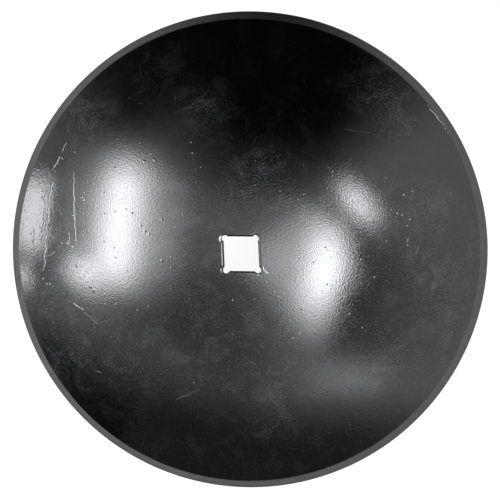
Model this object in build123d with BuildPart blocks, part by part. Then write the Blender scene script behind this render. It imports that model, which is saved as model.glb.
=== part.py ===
from build123d import *
import os
from math import asin, cos, degrees, radians, sin, sqrt

# A harrow disc blade: a round steel plate pressed to a shallow spherical dish, with a square hole
# for the gang axle and an outside bevel round the rim. It lies as it comes to rest, rim down with
# the hollow below and the crown up. Its axis is Z, and Z = 0 is the floor that the rim stands on.

INCH = 25.4

# The dish: its radius is that of the hollow face
disc_diameter = 22 * INCH
dish_radius = 570.0
plate_thickness = 5.0

# The cutting edge: the land that grinding leaves of the plate's sheared edge, and the angle between
# the ground bevel and the back of the plate
edge_land = 0.8
bevel_angle = 16.3

# The axle hole: a square with a round relief in each corner that stands out beyond both sides
axle_square = 1.5 * INCH
axle_clearance = 0.25
relief_radius = 3.6
relief_reach = 2.0

# What the punch leaves: a rolled-in edge on the back, where it enters, a short land that it shears
# straight, and below that a torn wall that opens towards the hollow. The reliefs run into the sides
# on a curve that is a little larger than the rolled edge.
punch_roll = 1.5
blend_past_roll = 0.5
shear_land = 0.5
tear_angle = 8.0

# The plate is bent square to its faces, so the land leans inwards by the dish's slope at the rim,
# and its outer corner is where the disc is widest
rim_angle = degrees(asin(disc_diameter / 2 / (dish_radius + edge_land)))
ball_centre = Vector(0, -dish_radius * cos(radians(rim_angle)))
hollow_crown = dish_radius + ball_centre.Y
back_crown = hollow_crown + plate_thickness

# The grinding wheel's cut, drawn long enough to leave the plate whatever its angle
wheel_reach = 2 * plate_thickness / sin(radians(bevel_angle))
wheel_standoff = 2 * plate_thickness

hole_side = axle_square + 2 * axle_clearance
relief_spacing = hole_side + 2 * (relief_reach - relief_radius)
relief_blend = punch_roll + blend_past_roll

# The back falls away from its crown towards the reliefs, which sets how deep the torn wall starts
back_radius = dish_radius + plate_thickness
hole_reach = relief_spacing / sqrt(2) + relief_radius
hole_fall = back_radius - sqrt(back_radius**2 - hole_reach**2)
torn_top = back_crown - hole_fall - punch_roll - shear_land


def rim_point(height):
    """A point on the plate's sheared edge, at this height above the hollow face."""
    return ball_centre + Vector(dish_radius + height, 0).rotate(Axis.Z, 90 - rim_angle)


def on_a_side(vertex):
    """True for a corner of the hole's outline that lies on one of the square's four sides."""
    nearest = min(abs(abs(vertex.X) - hole_side / 2), abs(abs(vertex.Y) - hole_side / 2))
    return nearest < relief_reach / 100


with BuildPart() as disc_blade:
    # The pressed plate in half section, with the bevel ground off its back
    with BuildSketch(Plane.XZ):
        with BuildLine():
            hollow = CenterArc(ball_centre, dish_radius, 90 - rim_angle, rim_angle)
            back = CenterArc(ball_centre, back_radius, 90 - rim_angle, rim_angle)
            Line(hollow @ 0, back @ 0)
            Line(hollow @ 1, back @ 1)
        make_face()
        with BuildLine():
            ground = PolarLine(rim_point(edge_land), wheel_reach, 180 - rim_angle - bevel_angle)
            Polyline(ground @ 1, rim_point(wheel_standoff), ground @ 0)
        make_face(mode=Mode.SUBTRACT)
    revolve(axis=Axis.Z)

    # The punched axle hole: straight down to where the wall is torn, and wider from there
    with BuildSketch(Plane.XY.offset(torn_top)) as hole_outline:
        Rectangle(hole_side, hole_side)
        with GridLocations(relief_spacing, relief_spacing, 2, 2):
            Circle(relief_radius)
        fillet(hole_outline.vertices().filter_by(on_a_side), relief_blend)
    extrude(amount=plate_thickness, mode=Mode.SUBTRACT)
    extrude(hole_outline.sketch, amount=-plate_thickness, taper=-tear_angle, mode=Mode.SUBTRACT)

    # The rolled-in edge follows the back round the hole
    back_face = disc_blade.faces().filter_by(GeomType.SPHERE).sort_by(Axis.Z)[-1]
    hole_edges = back_face.edges().filter_by_position(Axis.Z, hollow_crown, back_crown)
    fillet(hole_edges, punch_roll)

disc_blade.part.label = "disc_blade"

os.makedirs("parts", exist_ok=True)
export_step(disc_blade.part, "parts/disc_blade.step")
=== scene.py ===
from collections import namedtuple
from math import asin, cos, pi, radians, sin, sqrt, tan, tau

import bpy
from mathutils import Matrix, Vector, noise


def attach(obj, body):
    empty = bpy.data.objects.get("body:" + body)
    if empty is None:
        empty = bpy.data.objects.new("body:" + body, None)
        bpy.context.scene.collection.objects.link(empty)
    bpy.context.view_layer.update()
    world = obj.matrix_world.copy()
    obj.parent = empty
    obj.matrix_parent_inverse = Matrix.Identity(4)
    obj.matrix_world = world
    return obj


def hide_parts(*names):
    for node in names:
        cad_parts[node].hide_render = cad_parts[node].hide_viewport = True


# A harrow disc blade in glossy black paint, crown up on a white table between soft lights.
# Lengths are in metres. The blade's axis is Z, and the table is Z = 0.

MM = 0.001

# The camera looks down from nearly above, a little to the right of the blade's axis
CAMERA_PLACE = Vector((0.1263, 0.0644, 1.530))
CAMERA_AIM = Vector((0.0037, 0.0012, 0.0))
CAMERA_LENS = 94.3
SENSOR_WIDTH = 36.0

# The blade, as the construction has it
DISC_RADIUS = 279.4 * MM
DISH_RADIUS = 570.0 * MM
PLATE_THICKNESS = 5.0 * MM
EDGE_LAND = 0.8 * MM
BEVEL_ANGLE = radians(16.3)
HOLE_HALF_SIDE = 19.3 * MM
RELIEF_RADIUS = 3.6 * MM
RELIEF_REACH = 2.0 * MM
RELIEF_BLEND = 2.0 * MM
SHEAR_LAND = 0.5 * MM
TEAR_ANGLE = radians(8.0)

# What forging, punching and grinding leave, which the construction draws as true. The rolled edge
# of the hole is wider or narrower on some sides, its sides lean by two small slopes, and three
# corners stand out of place. The waves in the plate and its edges come from seeded noise.
ROLL_DEPTH = 2.4 * MM
ROLL_WIDTH = 2.0 * MM
ROLL_EXTRAS = (
    (Vector((-1, 0)), 1.2 * MM),
    (Vector((0, 1)), 0.5 * MM),
    (Vector((1, 0)), -0.7 * MM),
)
ROLL_EXTRA_FOCUS = 6
HOLE_LEAN_X = -0.045
HOLE_LEAN_Y = -0.010
CORNER_REACH = 9.0 * MM
CORNER_SHIFTS = (
    (Vector((21.0, 21.0)) * MM, Vector((-1.8, 0.0)) * MM),
    (Vector((-21.0, 21.0)) * MM, Vector((0.0, -1.1)) * MM),
    (Vector((-21.0, -21.0)) * MM, Vector((0.0, -1.2)) * MM),
)
PRESS_WAVE_DEPTH = 0.07 * MM
PRESS_WAVE_LENGTH = 70.0 * MM
PRESS_WAVE_SEED = 3.1
PLATE_RIPPLE_DEPTH = 0.020 * MM
PLATE_RIPPLE_LENGTH = 22.0 * MM
PLATE_RIPPLE_SEED = 8.7
RIM_WOBBLE = 0.2 * MM
RIM_WOBBLE_SEED = 5.5
BEVEL_WOBBLE = 0.5 * MM
BEVEL_WOBBLE_SEED = 1.5
WOBBLE_RATE = 3
EDGE_ROUNDING = 0.25 * MM
TOP_EASE = 6 * EDGE_ROUNDING

# The rounded land at the rim: how far each ring is below the bevel's corner and in from it, as
# multiples of the edge rounding
LAND_STEPS = ((0.3, 0.0), (1.2, 0.15), (2.0, 0.6))

# The mesh: points round each ring, and the distance between rings on the two faces
SEGMENTS = 512
BACK_STEP = 3.0 * MM
HOLLOW_STEP = 8.0 * MM
ROLL_STEPS = 7
HOLE_FAN_RADIUS = 44.0 * MM
HOLE_FAN_RINGS = 10

# The paint: glossy black, with dust in patches. The dust colour also paints one glow of light below
# the right highlight, and the fleck colour paints glints as well as pale scratches and specks. Heights
# are from trough to crest. A texture is its scale, detail, roughness and swirl. The dust thins along Y
# over DUST_CLEAN towards the top and over DUST_LOW towards the bottom.
PAINT_BLACK = (0.0007, 0.0007, 0.0008, 1)
PAINT_DUST_AND_GLOW = (0.050, 0.051, 0.052, 1)
# The pale colour of scratches and dust specks, which also paints glints on specks, nibs and some marks
PAINT_FLECK_AND_GLINT = (0.75, 0.75, 0.76, 1)
PAINT_ROUGHNESS = (0.03, 0.12)
ROUGHNESS_TEXTURE = (38, 3.0)
ROUGHNESS_CLOUDS = (0.35, 0.7)
DUST_TEXTURE = (45, 4.0, 0.55, 0.8)
DUST_CLOUDS = (0.46, 0.72)
DUST_CLEAN = (0.16, 0.02)
DUST_LEVEL = (0.04, 0.42)
DUST_LOW = (-0.19, -0.14)
DUST_LOW_SHARE = 0.3
GRAIN_TEXTURE = (600, 2.0, 0.7)
GRAIN_LEVELS = (0.45, 0.70)
GRAIN_SHARE = 1.7
PEEL_TEXTURE = (520,)
PEEL_HEIGHT = 0.085 * MM
FLAT_RADII = (0.19, 0.235)
FLAT_PEEL = 0.4
SAG_TEXTURE = (200, 1.0, 0.5, 1.0)
SAG_HEIGHT = 0.10 * MM
FINE_TEXTURE = (1100,)
FINE_HEIGHT = 0.030 * MM
NIB_SCALE = 75
NIB_SHARE = 0.2
NIB_RADIUS = 1.3 * MM
NIB_HEIGHT = 0.14 * MM
# How far the nibs turn pale: a painted glint on each
NIB_FLECK_AND_GLINT = 0.02
PIT_SCALE = 190
PIT_SHARE = 0.45
PIT_RADIUS = 0.7 * MM
PIT_DEPTH = 0.035 * MM
GRIND_LINES = 900
GRIND_HEIGHT = 0.05 * MM
GRIND_ROUGHNESS = 0.30

# Where haze lies thickest, and one painted glow: the middle in plan and the reach, both in
# millimetres, and the amount
HazeAndGlow = namedtuple("HazeAndGlow", "middle reach amount")
HAZE_AND_GLOW = (
    HazeAndGlow((-45, 160), 50, 0.35),
    HazeAndGlow((-100, 205), 60, 0.12),
    HazeAndGlow((-185, 155), 60, 0.5),
    HazeAndGlow((165, 185), 70, 0.45),
    HazeAndGlow((180, 140), 60, 0.3),
    HazeAndGlow((20, 85), 60, 0.3),
    HazeAndGlow((208, 48), 42, 0.8),
    HazeAndGlow((200, -15), 45, 0.5),
    HazeAndGlow((225, -45), 60, 0.4),
    HazeAndGlow((160, -120), 50, 0.4),
    # This patch is a painted highlight: the right light's glow where it tails off below its highlight
    HazeAndGlow((35, -190), 50, 1.1),
    HazeAndGlow((30, -5), 35, 0.8),
    HazeAndGlow((-90, 60), 50, 0.4),
)

# Scratches, chips and runs in the paint, each a line through points on the blade in plan. The
# lengths are in millimetres, and the last column is how far the line turns light: the pale colour of
# scratches and chips, and on some lines a painted glint. The lines waver by a part of WAVER.
WAVER = 4.0 * MM
WAVER_SCALE = 130
Mark = namedtuple("Mark", "points half_width height fleck")
MARKS = (
    Mark(((-198, 92), (-196, 54), (-193, 13)), 0.8, -0.06, 0.10),
    Mark(((-209, 126), (-214, 116)), 0.8, 0.10, 0.2),
    Mark(((-215, 110), (-212, 108)), 0.8, 0.10, 0.2),
    Mark(((-217, 111), (-224, 97)), 0.8, 0.14, 0.15),
    Mark(((-224, 100), (-219, 103)), 0.7, 0.10, 0.2),
    Mark(((-198, -60), (-186, -67)), 0.8, 0.10, 0.22),
    Mark(((-185, -70), (-169, -83)), 0.8, 0.04, 0.1),
    Mark(((-172, -139), (-167, -141)), 0.9, 0.10, 0.15),
    Mark(((-78, -169), (-55, -159)), 0.8, 0.10, 0.10),
    Mark(((115, 140), (143, 136)), 1.1, 0.05, 0.03),
    # Painted glints along the inner edge of the bevel at the upper right
    Mark(((212, 164), (218, 157), (224, 149), (227, 145)), 0.9, 0.10, 0.6),
    # Painted glints in a short line by the right rim
    Mark(((186, 17), (186, 13)), 0.8, 0.10, 0.3),
    Mark(((186, 10), (186, 8)), 0.8, 0.10, 0.3),
    Mark(((198, 6), (195, 0)), 0.8, 0.05, 0.1),
    # Painted glints where the rolled edge at the hole's top left and bottom right corners catches light
    Mark(((-23.5, 15), (-24, 17), (-23, 19)), 1.9, 0.10, 1.8),
    Mark(((25, -14), (24.5, -16), (29, -21)), 1.1, 0.10, 0.9),
    Mark(((-203, 23), (-202, 10)), 0.8, 0.12, 0.12),
    Mark(((-234, -6), (-226, -4), (-221, -1)), 0.7, 0.12, 0.15),
    Mark(((-253, -34), (-249, -38)), 0.8, 0.10, 0.3),
    # The run along the left rim: a ridge with a painted glint on it, and a groove beside it
    Mark((
        (-225, 82), (-226, 71), (-229, 63), (-228, 54), (-231, 45), (-229, 37), (-232, 28), (-231, 20),
        (-234, 11), (-232, 3), (-235, -5), (-234, -13), (-237, -23),
    ), 1.0, 0.22, 0.22),
    Mark((
        (-234, 70), (-236, 61), (-234, 52), (-237, 44), (-235, 36), (-239, 27), (-237, 18), (-240, 10),
        (-238, 2),
    ), 0.9, -0.20, 0.0),
    Mark(((-248, 25), (-250, 10), (-248, -4)), 0.8, -0.12, 0.0),
)

# Hard specks under the paint: a place in plan in millimetres, and how far each turns light, which is
# partly pale dust and partly a painted glint, as in the line of them by the right rim
SPECK_RADIUS = 1.1 * MM
SPECK_HEIGHT = 0.20 * MM
Speck = namedtuple("Speck", "middle fleck")
SPECKS = (
    Speck((-10, -52), 0.7), Speck((65, -89), 0.6), Speck((37, -42), 0.9), Speck((-56, -148), 0.5),
    Speck((181, 66), 1.2), Speck((191, 70), 0.7), Speck((167, 49), 0.5), Speck((174, 45), 1.1),
    Speck((179, 43), 1.1), Speck((188, 38), 1.2), Speck((185, 31), 0.5), Speck((235, 68), 0.4),
    Speck((-58, 125), 0.2), Speck((-56, 113), 0.2), Speck((-46, 97), 0.2), Speck((-75, 30), 0.3),
    Speck((-92, 38), 0.3), Speck((63, 61), 0.3), Speck((101, 92), 0.3), Speck((-203, 12), 0.3),
    Speck((-237, -32), 0.6), Speck((-232, -38), 0.8), Speck((-228, -38), 0.8), Speck((19, -23), 1.6),
    Speck((209, 168), 0.5), Speck((229, 142), 0.9), Speck((232, 137), 0.5), Speck((57, -95), 0.4),
)

# Lumps in the paint, larger than the specks and as black as the rest: places in millimetres
LUMP_RADIUS = 2.0 * MM
LUMP_HEIGHT = 0.20 * MM
LUMPS = (
    (-110, 25), (-115, 31), (-105, 22), (-187, 63), (-185, 60), (-90, 38), (-125, 45), (-205, 10),
    (-199, 6), (-193, -16), (-176, -40), (-172, -44), (-100, 106), (-112, 104), (-90, -8),
)

# The table and the room are white to the camera. In reflections the room is a little greyer, and
# both light the blade at a lower level than they show.
TABLE_SIZE = 12.0
TABLE_GLOW = 0.93
TABLE_SHADE = (0.15, 0.15, 0.15, 1)
ROOM_GLOSS = 0.8
ROOM_LEVEL = 0.23

# The table's own shade as the gloss shows it: dark under the blade, along the rim and to the north
SHADE_SIZE = 1.4
SHADE_LIFT = 0.5 * MM
RIM_SHADE = 0.55
RIM_SHADE_REACH = 9.0 * MM
NORTH_SHADE = 0.95
NORTH_SHADE_MIDDLE = (0.03, 0.30)
NORTH_SHADE_REACH = 0.24

# Soft lights and dark screens round the blade, which the camera doesn't see. size is across and up,
# and soft is the share of the size over which each edge fades: left, right, bottom and top as the
# card is drawn. up is the world direction nearest to its own up, and lean turns it in its plane.
# LIGHT_LEVEL is the share of a light's strength with which it lights matt surfaces.
NORTH = Vector((0, 1, 0))
SKY = Vector((0, 0, 1))
LIGHT_COLOUR = (0.96, 0.97, 1.0, 1)
LIGHT_LEVEL = 0.84
Card = namedtuple("Card", "name centre size soft up lean strength cover", defaults=(1.0,))
LIGHTS = (
    Card("left_light", (-1.7, 0.26, 2.0), (1.1, 2.1), (0.6, 0.6, 0.3, 0.35), NORTH, -4, 15.5),
    Card("left_spill", (-1.8, 0.2, 2.1), (2.4, 3.0), (0.45, 0.3, 0.85, 1.0), NORTH, 0, 8.5),
    Card("left_low_light", (-2.75, 0.3, 1.12), (1.2, 0.62), (0.3, 0.35, 0.2, 0.05), SKY, 0, 7.5),
    Card("left_corner_light", (-2.75, -0.4, 0.95), (0.4, 0.3), (0.4, 0.4, 0.4, 0.4), SKY, 0, 8.0),
    Card("left_small_light", (-2.35, -0.4, 1.9), (1.0, 0.7), (0.6, 0.55, 0.6, 0.5), NORTH, -16, 14.0),
    Card("right_light", (0.64, -0.38, 2.0), (0.7, 1.75), (0.7, 0.5, 0.95, 0.55), NORTH, -9, 29.0),
    Card("right_small_light", (1.13, 0.48, 2.05), (0.42, 0.9), (0.5, 0.5, 0.5, 0.5), NORTH, 40, 12.0),
    Card("south_spill", (1.2, -1.9, 2.2), (1.8, 0.8), (0.5, 0.5, 0.5, 0.5), NORTH, 0, 1.9),
    Card("top_spill", (0.45, -0.2, 2.2), (1.3, 1.4), (0.4, 0.2, 0.3, 0.4), NORTH, 36, 4.0),
)
SCREENS = (
    Card("north_screen", (-0.03, 0.9, 2.2), (3.24, 7.8), (0.35, 0.47, 0.05, 0.65), SKY, -1, 0.0),
    Card("south_screen", (-0.3, -1.3, 0.8), (5.7, 2.0), (0.4, 0.35, 0.05, 0.5), SKY, -3, 0.0, 0.9),
    Card("south_high_screen", (-0.4, -0.6, 3.2), (1.8, 5.9), (0.35, 0.45, 0.15, 0.95), SKY, 2, 0.0, 0.65),
    Card("southwest_screen", (-2.65, -1.8, 1.0), (2.6, 1.9), (0.45, 0.1, 0.05, 0.35), SKY, 14, 0.0, 0.85),
    Card("northwest_screen", (-1.7, 1.95, 1.55), (3.9, 3.3), (0.05, 0.55, 0.05, 0.45), SKY, -13, 0.0, 0.9),
    Card("right_gap_screen", (1.4, -0.6, 1.9), (2.8, 1.7), (0.45, 1.0, 0.2, 0.3), NORTH, -3, 0.0),
)

RIM_ANGLE = asin(DISC_RADIUS / (DISH_RADIUS + EDGE_LAND))
BALL_HEIGHT = -DISH_RADIUS * cos(RIM_ANGLE)
BACK_RADIUS = DISH_RADIUS + PLATE_THICKNESS
QUADRANT_SEGMENTS = SEGMENTS // 4

# An eighth of the hole's outline, from the middle of a side to the corner's diagonal: a straight
# run, the blend into the relief, and the relief itself
RELIEF_PLACE = HOLE_HALF_SIDE + RELIEF_REACH - RELIEF_RADIUS
BLEND_CENTRE = Vector((
    HOLE_HALF_SIDE + RELIEF_BLEND,
    RELIEF_PLACE
    - sqrt((RELIEF_RADIUS + RELIEF_BLEND) ** 2 - (HOLE_HALF_SIDE + RELIEF_BLEND - RELIEF_PLACE) ** 2),
))
RELIEF_CENTRE = Vector((RELIEF_PLACE, RELIEF_PLACE))
RELIEF_START = (BLEND_CENTRE - RELIEF_CENTRE).angle_signed(Vector((1, 0)))
STRAIGHT_RUN = BLEND_CENTRE.y
BLEND_RUN = RELIEF_BLEND * (-RELIEF_START)
RELIEF_RUN = RELIEF_RADIUS * (radians(45) - RELIEF_START)
EIGHTH_RUN = STRAIGHT_RUN + BLEND_RUN + RELIEF_RUN


def place_camera():
    """The camera, held level with the blade's X axis."""
    data = bpy.data.cameras.new("camera")
    data.lens = CAMERA_LENS
    data.sensor_width = SENSOR_WIDTH
    camera = bpy.data.objects.new("camera", data)
    bpy.context.scene.collection.objects.link(camera)
    back = (CAMERA_PLACE - CAMERA_AIM).normalized()
    right = NORTH.cross(back).normalized()
    turn = Matrix((right, back.cross(right), back)).transposed()
    camera.matrix_world = Matrix.Translation(CAMERA_PLACE) @ turn.to_4x4()
    bpy.context.scene.camera = camera


def heading(angle):
    """The unit vector in the plane at this angle from the X axis."""
    return Vector((cos(angle), sin(angle)))


def eighth_point(way):
    """A point of the hole's outline this far along the eighth, and the direction into the steel."""
    if way < STRAIGHT_RUN:
        return Vector((HOLE_HALF_SIDE, way)), Vector((1, 0))
    way -= STRAIGHT_RUN
    if way < BLEND_RUN:
        inward = heading(pi - way / RELIEF_BLEND)
        return BLEND_CENTRE + RELIEF_BLEND * inward, -inward
    outward = heading(RELIEF_START + (way - BLEND_RUN) / RELIEF_RADIUS)
    return RELIEF_CENTRE + RELIEF_RADIUS * outward, outward


def outline_point(index):
    """A point of the hole's outline and the direction into the steel, counting round the hole
    from the diagonal below the X axis."""
    quadrant, step = divmod(index, QUADRANT_SEGMENTS)
    way = EIGHTH_RUN * (2 * step / QUADRANT_SEGMENTS - 1)
    point, outward = eighth_point(abs(way))
    if way < 0:
        point.y = -point.y
        outward.y = -outward.y
    turn = Matrix.Rotation(quadrant * pi / 2, 2)
    return turn @ point, turn @ outward


def ring_heading(index):
    """The direction in which a round ring has this point."""
    return heading(tau * index / SEGMENTS - pi / 4)


def sphere_height(radius, place):
    """The height of a sphere about the dish's centre, above this place on the table."""
    return BALL_HEIGHT + sqrt(radius**2 - place.length_squared)


def noise_at(place, length, seed):
    """Smooth noise from -1 to 1 that changes over this length."""
    return noise.noise(Vector((place.x / length, place.y / length, seed)))


def press_dip(place):
    """How far the plate lies below the true sphere here, from the press and from rolling."""
    wave = noise_at(place, PRESS_WAVE_LENGTH, PRESS_WAVE_SEED)
    ripple = noise_at(place, PLATE_RIPPLE_LENGTH, PLATE_RIPPLE_SEED)
    return PRESS_WAVE_DEPTH * (1 + wave) / 2 + PLATE_RIPPLE_DEPTH * (1 + ripple) / 2


def back_height(place):
    return sphere_height(BACK_RADIUS, place) - press_dip(place)


def hollow_height(place):
    return max(0.0, sphere_height(DISH_RADIUS, place) - press_dip(place))


def roll_width(outward):
    """The width of the rolled-in edge, where the steel lies in this direction from the hole."""
    width = ROLL_WIDTH
    for side, extra in ROLL_EXTRAS:
        width += extra * max(0, outward.dot(side)) ** ROLL_EXTRA_FOCUS
    return width


def torn_wall():
    """The height at which the torn wall starts, its run and how far it opens by the hollow face."""
    mouth = Vector((HOLE_HALF_SIDE * sqrt(2), 0))
    top = sphere_height(BACK_RADIUS, mouth) - ROLL_DEPTH - SHEAR_LAND
    run = top - sphere_height(DISH_RADIUS, mouth)
    return top, run, run * tan(TEAR_ANGLE)


def leant(place):
    """A place on the hole's outline, moved as the punched hole stands out of square."""
    moved = Vector((place.x + HOLE_LEAN_X * place.y, place.y + HOLE_LEAN_Y * place.x))
    for corner, shift in CORNER_SHIFTS:
        moved += shift * max(0, 1 - (place - corner).length / CORNER_REACH)
    return moved


def hole_ring(offset_of, height_of):
    """A ring that follows the hole's outline. offset_of is called with the direction into the
    steel, and height_of with the place on the table."""
    ring = []
    for index in range(SEGMENTS):
        point, outward = outline_point(index)
        place = leant(point + offset_of(outward) * outward)
        ring.append(place.to_3d() + Vector((0, 0, height_of(place))))
    return ring


def fan_rings(offset_of, height_of, count):
    """Rings that change from the hole's outline, offset into the steel, to a circle."""
    rings = []
    for ring_index in range(1, count + 1):
        ring = []
        for index in range(SEGMENTS):
            point, outward = outline_point(index)
            inner = leant(point + offset_of(outward) * outward)
            place = inner.lerp(HOLE_FAN_RADIUS * ring_heading(index), ring_index / count)
            ring.append(place.to_3d() + Vector((0, 0, height_of(place))))
        rings.append(ring)
    return rings


def round_ring(radius_of, height_of):
    """A ring about the axis; radius_of is called with the direction, height_of with the place."""
    ring = []
    for index in range(SEGMENTS):
        direction = ring_heading(index)
        place = radius_of(direction) * direction
        ring.append(place.to_3d() + Vector((0, 0, height_of(place))))
    return ring


def spaced(start, end, step):
    """Values from start to end, both included, about a step apart."""
    count = max(1, round(abs(end - start) / step))
    return [start + (end - start) * index / count for index in range(count + 1)]


def hole_rings():
    """The hole's wall from the hollow face up, then its rolled edge to the back face."""
    top, run, spread = torn_wall()
    rings = [
        hole_ring(lambda outward: spread + EDGE_ROUNDING, lambda place: sphere_height(DISH_RADIUS, place)),
        hole_ring(lambda outward: spread, lambda place: sphere_height(DISH_RADIUS, place) + EDGE_ROUNDING),
        hole_ring(lambda outward: spread / 2, lambda place: top - run / 2),
        hole_ring(lambda outward: 0, lambda place: top),
    ]
    for step in range(ROLL_STEPS + 1):
        turn = (pi / 2) * step / ROLL_STEPS
        rings.append(hole_ring(
            lambda outward: roll_width(outward) * (1 - cos(turn)),
            lambda place: back_height(place) - ROLL_DEPTH * (1 - sin(turn)),
        ))
    return rings


def bevel_top():
    """Where the ground bevel meets the true back face: its radius and height."""
    slope = heading(pi - RIM_ANGLE - BEVEL_ANGLE)
    start = (DISH_RADIUS + EDGE_LAND) * heading(pi / 2 - RIM_ANGLE)
    along = start.dot(slope)
    run = -along + sqrt(along**2 - start.length_squared + BACK_RADIUS**2)
    top = start + run * slope
    return top.x, top.y + BALL_HEIGHT


def back_rings():
    """The back face, from the hole's fan out to just inside the bevel."""
    last = bevel_top()[0] - TOP_EASE - BEVEL_WOBBLE - BACK_STEP
    return [
        round_ring(lambda direction: radius, back_height)
        for radius in spaced(HOLE_FAN_RADIUS + BACK_STEP, last, BACK_STEP)
    ]


def wobble(direction, depth, seed):
    """How far in from its true place an edge lies in this direction, from 0 to this depth."""
    return depth * (1 + noise_at(direction * WOBBLE_RATE, 1, seed)) / 2


def bevel_rings():
    """The last of the back face, the bevel, the land and the first of the hollow face."""
    top_radius, top_height = bevel_top()
    corner = (DISH_RADIUS + EDGE_LAND) * heading(pi / 2 - RIM_ANGLE) + Vector((0, BALL_HEIGHT))
    tip = DISH_RADIUS * heading(pi / 2 - RIM_ANGLE) + Vector((0, BALL_HEIGHT))
    slope = (top_height - corner.y) / (corner.x - top_radius)

    def rim_wobble(direction):
        return wobble(direction, RIM_WOBBLE, RIM_WOBBLE_SEED)

    def on_bevel(inset):
        return round_ring(
            lambda direction: corner.x - inset - rim_wobble(direction),
            lambda place: min(corner.y + inset * slope, back_height(place)),
        )

    def at_top(inset):
        return round_ring(
            lambda direction: top_radius - inset - wobble(direction, BEVEL_WOBBLE, BEVEL_WOBBLE_SEED),
            lambda place: min(back_height(place), corner.y + (corner.x - place.length) * slope),
        )

    width = corner.x - top_radius
    rings = [at_top(TOP_EASE), at_top(EDGE_ROUNDING), at_top(0), at_top(-EDGE_ROUNDING)]
    for inset in spaced(width - BEVEL_WOBBLE - TOP_EASE, 3 * EDGE_ROUNDING, width / 4):
        rings.append(on_bevel(inset))
    rings.append(on_bevel(EDGE_ROUNDING))
    for drop, inset in LAND_STEPS:
        rings.append(round_ring(
            lambda direction: corner.x - inset * EDGE_ROUNDING - rim_wobble(direction),
            lambda place: corner.y - drop * EDGE_ROUNDING,
        ))
    rings.append(round_ring(
        lambda direction: tip.x - EDGE_ROUNDING - rim_wobble(direction),
        lambda place: 0.0,
    ))
    return rings


def hollow_rings():
    """The hollow face, from the rim in to the hole."""
    outer = DISH_RADIUS * sin(RIM_ANGLE) - 4 * EDGE_ROUNDING - RIM_WOBBLE
    lip = torn_wall()[2] + 2 * EDGE_ROUNDING
    rings = [
        round_ring(lambda direction: radius, hollow_height)
        for radius in spaced(outer, HOLE_FAN_RADIUS + HOLLOW_STEP, HOLLOW_STEP)
    ]
    rings += reversed(fan_rings(lambda outward: lip, hollow_height, HOLE_FAN_RINGS // 2))
    return rings


def join_rings(name, rings):
    """A closed mesh through rings of the same number of points, the last joined to the first."""
    points = [point for ring in rings for point in ring]
    faces = []
    for ring_index in range(len(rings)):
        here = ring_index * SEGMENTS
        there = (ring_index + 1) % len(rings) * SEGMENTS
        for index in range(SEGMENTS):
            after = (index + 1) % SEGMENTS
            faces.append((here + index, there + index, there + after, here + after))
    mesh = bpy.data.meshes.new(name)
    mesh.from_pydata(points, [], faces)
    mesh.shade_smooth()
    mesh.update()
    piece = bpy.data.objects.new(name, mesh)
    bpy.context.scene.collection.objects.link(piece)
    return piece


def build_blade():
    """The blade with its worn hole edge, bevel and slight waves, in place of the plain solid."""
    rings = hole_rings()
    rings += fan_rings(roll_width, back_height, HOLE_FAN_RINGS)
    rings += back_rings()
    rings += bevel_rings()
    rings += hollow_rings()
    blade = join_rings("painted_blade", rings)
    blade.data.materials.append(paint_material())
    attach(blade, "root")
    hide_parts("disc_blade")


def new_node(tree, kind, sockets=None, **settings):
    """Adds a node. sockets holds a number, a colour or another node's output for each input."""
    node = tree.nodes.new(kind)
    for name, value in settings.items():
        setattr(node, name, value)
    for name, value in (sockets or {}).items():
        if isinstance(value, bpy.types.NodeSocket):
            tree.links.new(value, node.inputs[name])
        else:
            node.inputs[name].default_value = value
    return node


def maths(tree, operation, first, second=0.0):
    node = new_node(tree, "ShaderNodeMath", {0: first, 1: second}, operation=operation)
    return node.outputs[0]


def vector_maths(tree, operation, sockets):
    """The vector that comes out, or the number if the operation gives one."""
    node = new_node(tree, "ShaderNodeVectorMath", sockets, operation=operation)
    return [item for item in node.outputs if item.enabled][0]


def added(tree, *values):
    total = values[0]
    for value in values[1:]:
        total = maths(tree, "ADD", total, value)
    return total


def remap(tree, value, low, high, to_low=0.0, to_high=1.0):
    """Eases from to_low to to_high as the value goes from low to high."""
    sockets = {"Value": value, "From Min": low, "From Max": high, "To Min": to_low, "To Max": to_high}
    node = new_node(tree, "ShaderNodeMapRange", sockets, interpolation_type="SMOOTHSTEP")
    return node.outputs["Result"]


def cloud(tree, where, scale, detail=1.0, roughness=0.5, swirl=0.0):
    sockets = {
        "Vector": where, "Scale": scale, "Detail": detail, "Roughness": roughness, "Distortion": swirl
    }
    return new_node(tree, "ShaderNodeTexNoise", sockets).outputs["Fac"]


def mixed(tree, share, first, second):
    """A colour this share of the way from the first to the second."""
    node = new_node(tree, "ShaderNodeMix", data_type="RGBA")
    for name, value in {"Factor": share, "A": first, "B": second}.items():
        socket = [item for item in node.inputs if item.name == name and item.enabled][0]
        if isinstance(value, bpy.types.NodeSocket):
            tree.links.new(value, socket)
        else:
            socket.default_value = value
    return [item for item in node.outputs if item.enabled][0]


def new_material(name):
    material = bpy.data.materials.new(name)
    material.use_nodes = True
    material.node_tree.nodes.clear()
    return material


def finish_material(tree, shader):
    new_node(tree, "ShaderNodeOutputMaterial", {"Surface": shader})


def closeness(tree, where, middle, reach):
    """1 at this place in plan, falling to 0 at this reach from it."""
    distance = vector_maths(tree, "DISTANCE", {0: where, 1: middle.to_3d()})
    return remap(tree, distance, reach, 0.0)


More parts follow.
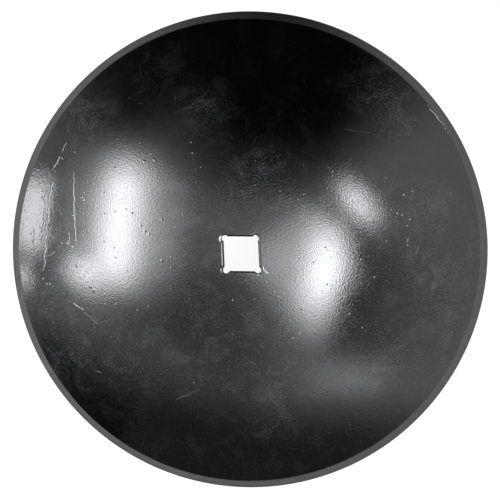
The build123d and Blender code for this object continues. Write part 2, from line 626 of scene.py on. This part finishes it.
def distance_from_line(tree, where, start, end):
    whole = (end - start).to_3d()
    along = whole.normalized()
    off = vector_maths(tree, "SUBTRACT", {0: where, 1: start.to_3d()})
    run = vector_maths(tree, "DOT_PRODUCT", {0: off, 1: along})
    run = maths(tree, "MINIMUM", maths(tree, "MAXIMUM", run, 0.0), whole.length)
    foot = vector_maths(tree, "SCALE", {0: along, "Scale": run})
    apart = vector_maths(tree, "SUBTRACT", {0: off, 1: foot})
    return vector_maths(tree, "LENGTH", {0: apart})


def nearness(tree, where, points, reach):
    """1 on the line through these points in plan, falling to 0 at this reach from it."""
    nearest = reach
    for start, end in zip(points, points[1:]):
        nearest = maths(tree, "MINIMUM", distance_from_line(tree, where, start, end), nearest)
    return remap(tree, nearest, reach, 0.0)


def specks(tree, where, scale, share, radius):
    """1 at the middle of each speck, falling to 0 at its radius; share of the cells hold one."""
    sockets = {"Vector": where, "Scale": scale}
    cells = new_node(tree, "ShaderNodeTexVoronoi", sockets, voronoi_dimensions="2D")
    speck = remap(tree, cells.outputs["Distance"], radius * scale, 0.0)
    chance = new_node(tree, "ShaderNodeSeparateColor", {0: cells.outputs["Color"]}).outputs[0]
    return maths(tree, "MULTIPLY", speck, maths(tree, "LESS_THAN", chance, share))


def dust_and_glow_share(tree, where, plan, up):
    """How far dust lies on the paint: clouds and grain in patches, thin near the top and bottom.
    One patch is a painted glow of light.
    """
    clouds = remap(tree, cloud(tree, where, *DUST_TEXTURE), *DUST_CLOUDS)
    grain = remap(tree, cloud(tree, where, *GRAIN_TEXTURE), *GRAIN_LEVELS)
    levels = [remap(tree, up, *DUST_CLEAN, *DUST_LEVEL)]
    for haze_and_glow in HAZE_AND_GLOW:
        patch = closeness(tree, plan, Vector(haze_and_glow.middle) * MM, haze_and_glow.reach * MM)
        levels.append(maths(tree, "MULTIPLY", patch, haze_and_glow.amount))
    dust = added(tree, clouds, maths(tree, "MULTIPLY", grain, GRAIN_SHARE))
    dust = maths(tree, "MULTIPLY", dust, added(tree, *levels))
    return maths(tree, "MULTIPLY", dust, remap(tree, up, *DUST_LOW, DUST_LOW_SHARE, 1.0))


def wavered(tree, plan):
    """The plan, shifted a little this way and that, so that straight lines on it waver."""
    shake = new_node(tree, "ShaderNodeTexNoise", {"Vector": plan, "Scale": WAVER_SCALE}).outputs["Color"]
    shake = vector_maths(tree, "SUBTRACT", {0: shake, 1: (0.5, 0.5, 0.5)})
    shake = vector_maths(tree, "MULTIPLY", {0: shake, 1: (WAVER, WAVER, 0)})
    return vector_maths(tree, "ADD", {0: plan, 1: shake})


def blemishes(tree, plan):
    """The heights of the marks, specks, lumps, nibs and pits, and how far they turn light, partly as
    pale dust and scratches and partly as painted glints.
    """
    heights = []
    flecks_and_glints = []
    on_lines = wavered(tree, plan)
    for mark in MARKS:
        points = [Vector(point) * MM for point in mark.points]
        line = nearness(tree, on_lines, points, mark.half_width * MM)
        heights.append(maths(tree, "MULTIPLY", line, mark.height * MM))
        flecks_and_glints.append(maths(tree, "MULTIPLY", line, mark.fleck))
    for speck in SPECKS:
        spot = closeness(tree, plan, Vector(speck.middle) * MM, SPECK_RADIUS)
        heights.append(maths(tree, "MULTIPLY", spot, SPECK_HEIGHT))
        flecks_and_glints.append(maths(tree, "MULTIPLY", spot, speck.fleck))
    for middle in LUMPS:
        lump = closeness(tree, plan, Vector(middle) * MM, LUMP_RADIUS)
        heights.append(maths(tree, "MULTIPLY", lump, LUMP_HEIGHT))
    nibs = specks(tree, plan, NIB_SCALE, NIB_SHARE, NIB_RADIUS)
    heights.append(maths(tree, "MULTIPLY", nibs, NIB_HEIGHT))
    flecks_and_glints.append(maths(tree, "MULTIPLY", nibs, NIB_FLECK_AND_GLINT))
    pits = specks(tree, plan, PIT_SCALE, PIT_SHARE, PIT_RADIUS)
    heights.append(maths(tree, "MULTIPLY", pits, -PIT_DEPTH))
    return added(tree, *heights), added(tree, *flecks_and_glints)


def paint_height(tree, where, radius):
    """The orange peel, which flattens towards the rim, the sags there and the fine ripple."""
    peel_height = remap(tree, radius, *FLAT_RADII, PEEL_HEIGHT, PEEL_HEIGHT * FLAT_PEEL)
    sag_height = remap(tree, radius, *FLAT_RADII, 0.0, SAG_HEIGHT)
    return added(
        tree,
        maths(tree, "MULTIPLY", cloud(tree, where, *PEEL_TEXTURE), peel_height),
        maths(tree, "MULTIPLY", cloud(tree, where, *SAG_TEXTURE), sag_height),
        maths(tree, "MULTIPLY", cloud(tree, where, *FINE_TEXTURE), FINE_HEIGHT),
    )


def grind_height(tree, across, up, radius, on_bevel):
    """The grinding wheel's lines round the bevel."""
    around = maths(tree, "ARCTAN2", up, across)
    sockets = {0: maths(tree, "MULTIPLY", radius, GRIND_LINES), 1: around}
    lines = new_node(tree, "ShaderNodeCombineXYZ", sockets).outputs[0]
    height = maths(tree, "MULTIPLY", cloud(tree, lines, 1.0, 2.0), on_bevel)
    return maths(tree, "MULTIPLY", height, GRIND_HEIGHT)


def paint_material():
    material = new_material("blade_paint")
    tree = material.node_tree
    where = new_node(tree, "ShaderNodeTexCoord").outputs["Object"]
    across, up, _ = new_node(tree, "ShaderNodeSeparateXYZ", {0: where}).outputs
    plan = new_node(tree, "ShaderNodeCombineXYZ", {0: across, 1: up}).outputs[0]
    radius = vector_maths(tree, "LENGTH", {0: plan})
    bevel_start = bevel_top()[0]
    on_bevel = remap(tree, radius, bevel_start - BEVEL_WOBBLE, bevel_start)

    marks_height, flecks_and_glints = blemishes(tree, plan)
    # Dust in patches, and in one patch a painted glow of light
    colour = mixed(tree, dust_and_glow_share(tree, where, plan, up), PAINT_BLACK, PAINT_DUST_AND_GLOW)
    # Pale scratches and dust specks, and painted glints
    colour = mixed(tree, flecks_and_glints, colour, PAINT_FLECK_AND_GLINT)
    rough = remap(tree, cloud(tree, where, *ROUGHNESS_TEXTURE), *ROUGHNESS_CLOUDS, *PAINT_ROUGHNESS)
    rough = added(tree, rough, maths(tree, "MULTIPLY", on_bevel, GRIND_ROUGHNESS))
    height = added(
        tree,
        marks_height,
        paint_height(tree, where, radius),
        grind_height(tree, across, up, radius, on_bevel),
    )
    bump = new_node(tree, "ShaderNodeBump", {"Height": height, "Distance": 1.0, "Strength": 1.0})
    paint = new_node(tree, "ShaderNodeBsdfPrincipled", {
        "Base Color": colour,
        "Roughness": rough,
        "Normal": bump.outputs["Normal"],
        "Specular IOR Level": 1.0,
    })
    finish_material(tree, paint.outputs["BSDF"])
    return material


def seen_directly(tree):
    """1 for rays from the camera, from gloss and through glass, 0 for the others."""
    path = new_node(tree, "ShaderNodeLightPath")
    direct = maths(tree, "MAXIMUM", path.outputs["Is Camera Ray"], path.outputs["Is Glossy Ray"])
    return maths(tree, "MAXIMUM", direct, path.outputs["Is Transmission Ray"])


def flat_piece(name, width, height):
    """A flat rectangle about the origin with its corners at 0 and 1 in its UV map."""
    across, up = width / 2, height / 2
    mesh = bpy.data.meshes.new(name)
    mesh.from_pydata(
        [(-across, -up, 0), (across, -up, 0), (across, up, 0), (-across, up, 0)], [], [(0, 1, 2, 3)]
    )
    uv = mesh.uv_layers.new(name="UVMap")
    for corner, place in enumerate(((0, 0), (1, 0), (1, 1), (0, 1))):
        uv.data[corner].uv = place
    piece = bpy.data.objects.new(name, mesh)
    bpy.context.scene.collection.objects.link(piece)
    return piece


def hide_from_all_but_gloss(piece):
    piece.visible_camera = False
    piece.visible_diffuse = False
    piece.visible_shadow = False


def build_table():
    table = flat_piece("table", TABLE_SIZE, TABLE_SIZE)
    material = new_material("white_table")
    tree = material.node_tree
    shade = new_node(tree, "ShaderNodeBsdfDiffuse", {"Color": TABLE_SHADE})
    glow_level = maths(tree, "MULTIPLY", seen_directly(tree), TABLE_GLOW)
    glow = new_node(tree, "ShaderNodeEmission", {"Strength": glow_level})
    both = new_node(tree, "ShaderNodeAddShader", {0: shade.outputs[0], 1: glow.outputs[0]})
    finish_material(tree, both.outputs[0])
    table.data.materials.append(material)


def build_shade():
    shade = flat_piece("table_shade", SHADE_SIZE, SHADE_SIZE)
    shade.location.z = SHADE_LIFT
    material = new_material("table_shade")
    tree = material.node_tree
    where = new_node(tree, "ShaderNodeTexCoord").outputs["Object"]
    radius = vector_maths(tree, "LENGTH", {0: where})
    rim = remap(tree, radius, DISC_RADIUS + RIM_SHADE_REACH, DISC_RADIUS, 0.0, RIM_SHADE)
    north = closeness(tree, where, Vector(NORTH_SHADE_MIDDLE), NORTH_SHADE_REACH)
    north = maths(tree, "MULTIPLY", north, NORTH_SHADE)
    under = maths(tree, "LESS_THAN", radius, DISC_RADIUS - PLATE_THICKNESS)
    cover = maths(tree, "MAXIMUM", under, maths(tree, "MAXIMUM", rim, north))
    clear = new_node(tree, "ShaderNodeBsdfTransparent")
    dark = new_node(tree, "ShaderNodeEmission", {"Strength": 0.0})
    shader = new_node(tree, "ShaderNodeMixShader", {0: cover, 1: clear.outputs[0], 2: dark.outputs[0]})
    finish_material(tree, shader.outputs[0])
    shade.data.materials.append(material)
    hide_from_all_but_gloss(shade)


def build_room():
    """A white room all round, which lights the blade at a lower level than it shows."""
    world = bpy.data.worlds.new("room")
    world.use_nodes = True
    tree = world.node_tree
    tree.nodes.clear()
    level = remap(tree, seen_directly(tree), 0.0, 1.0, ROOM_LEVEL, ROOM_GLOSS)
    level = maths(tree, "MAXIMUM", level, new_node(tree, "ShaderNodeLightPath").outputs["Is Camera Ray"])
    room = new_node(tree, "ShaderNodeBackground", {"Color": (1, 1, 1, 1), "Strength": level})
    new_node(tree, "ShaderNodeOutputWorld", {"Surface": room.outputs[0]})
    bpy.context.scene.world = world


def card_material(card):
    """Glows or hides in the middle and fades to nothing at the edges."""
    material = new_material(card.name)
    tree = material.node_tree
    uv = new_node(tree, "ShaderNodeTexCoord").outputs["UV"]
    across, up, _ = new_node(tree, "ShaderNodeSeparateXYZ", {0: uv}).outputs
    left, right, bottom, top = card.soft
    cover = maths(tree, "MULTIPLY", remap(tree, across, 0.0, left), remap(tree, across, 1.0, 1.0 - right))
    cover = maths(tree, "MULTIPLY", cover, remap(tree, up, 0.0, bottom))
    cover = maths(tree, "MULTIPLY", cover, remap(tree, up, 1.0, 1.0 - top))
    cover = maths(tree, "MULTIPLY", cover, card.cover)
    clear = new_node(tree, "ShaderNodeBsdfTransparent")
    level = remap(tree, seen_directly(tree), 0.0, 1.0, card.strength * LIGHT_LEVEL, card.strength)
    glow = new_node(tree, "ShaderNodeEmission", {"Color": LIGHT_COLOUR, "Strength": level})
    shader = new_node(tree, "ShaderNodeMixShader", {0: cover, 1: clear.outputs[0], 2: glow.outputs[0]})
    finish_material(tree, shader.outputs[0])
    return material


def hang_card(card):
    """A card that faces the blade, or stands upright if its up is the sky."""
    piece = flat_piece(card.name, *card.size)
    centre = Vector(card.centre)
    away = centre.normalized()
    if card.up == SKY:
        away = Vector((centre.x, centre.y, 0)).normalized()
    across = card.up.cross(away).normalized()
    turn = Matrix((across, away.cross(across), away)).transposed()
    lean = Matrix.Rotation(radians(card.lean), 4, "Z")
    piece.matrix_world = Matrix.Translation(centre) @ turn.to_4x4() @ lean
    piece.data.materials.append(card_material(card))
    piece.visible_camera = False
    return piece


def build_lights():
    for card in LIGHTS:
        hang_card(card)
    for card in SCREENS:
        hide_from_all_but_gloss(hang_card(card))


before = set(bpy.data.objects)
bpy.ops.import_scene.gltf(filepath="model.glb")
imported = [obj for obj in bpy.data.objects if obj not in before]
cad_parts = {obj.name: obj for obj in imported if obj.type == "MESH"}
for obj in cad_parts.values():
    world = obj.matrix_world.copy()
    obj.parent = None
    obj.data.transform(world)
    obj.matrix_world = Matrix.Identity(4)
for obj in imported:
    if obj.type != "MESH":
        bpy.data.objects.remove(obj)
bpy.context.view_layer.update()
place_camera()
build_blade()
build_table()
build_shade()
build_room()
build_lights()
bpy.context.scene.view_settings.view_transform = "Standard"
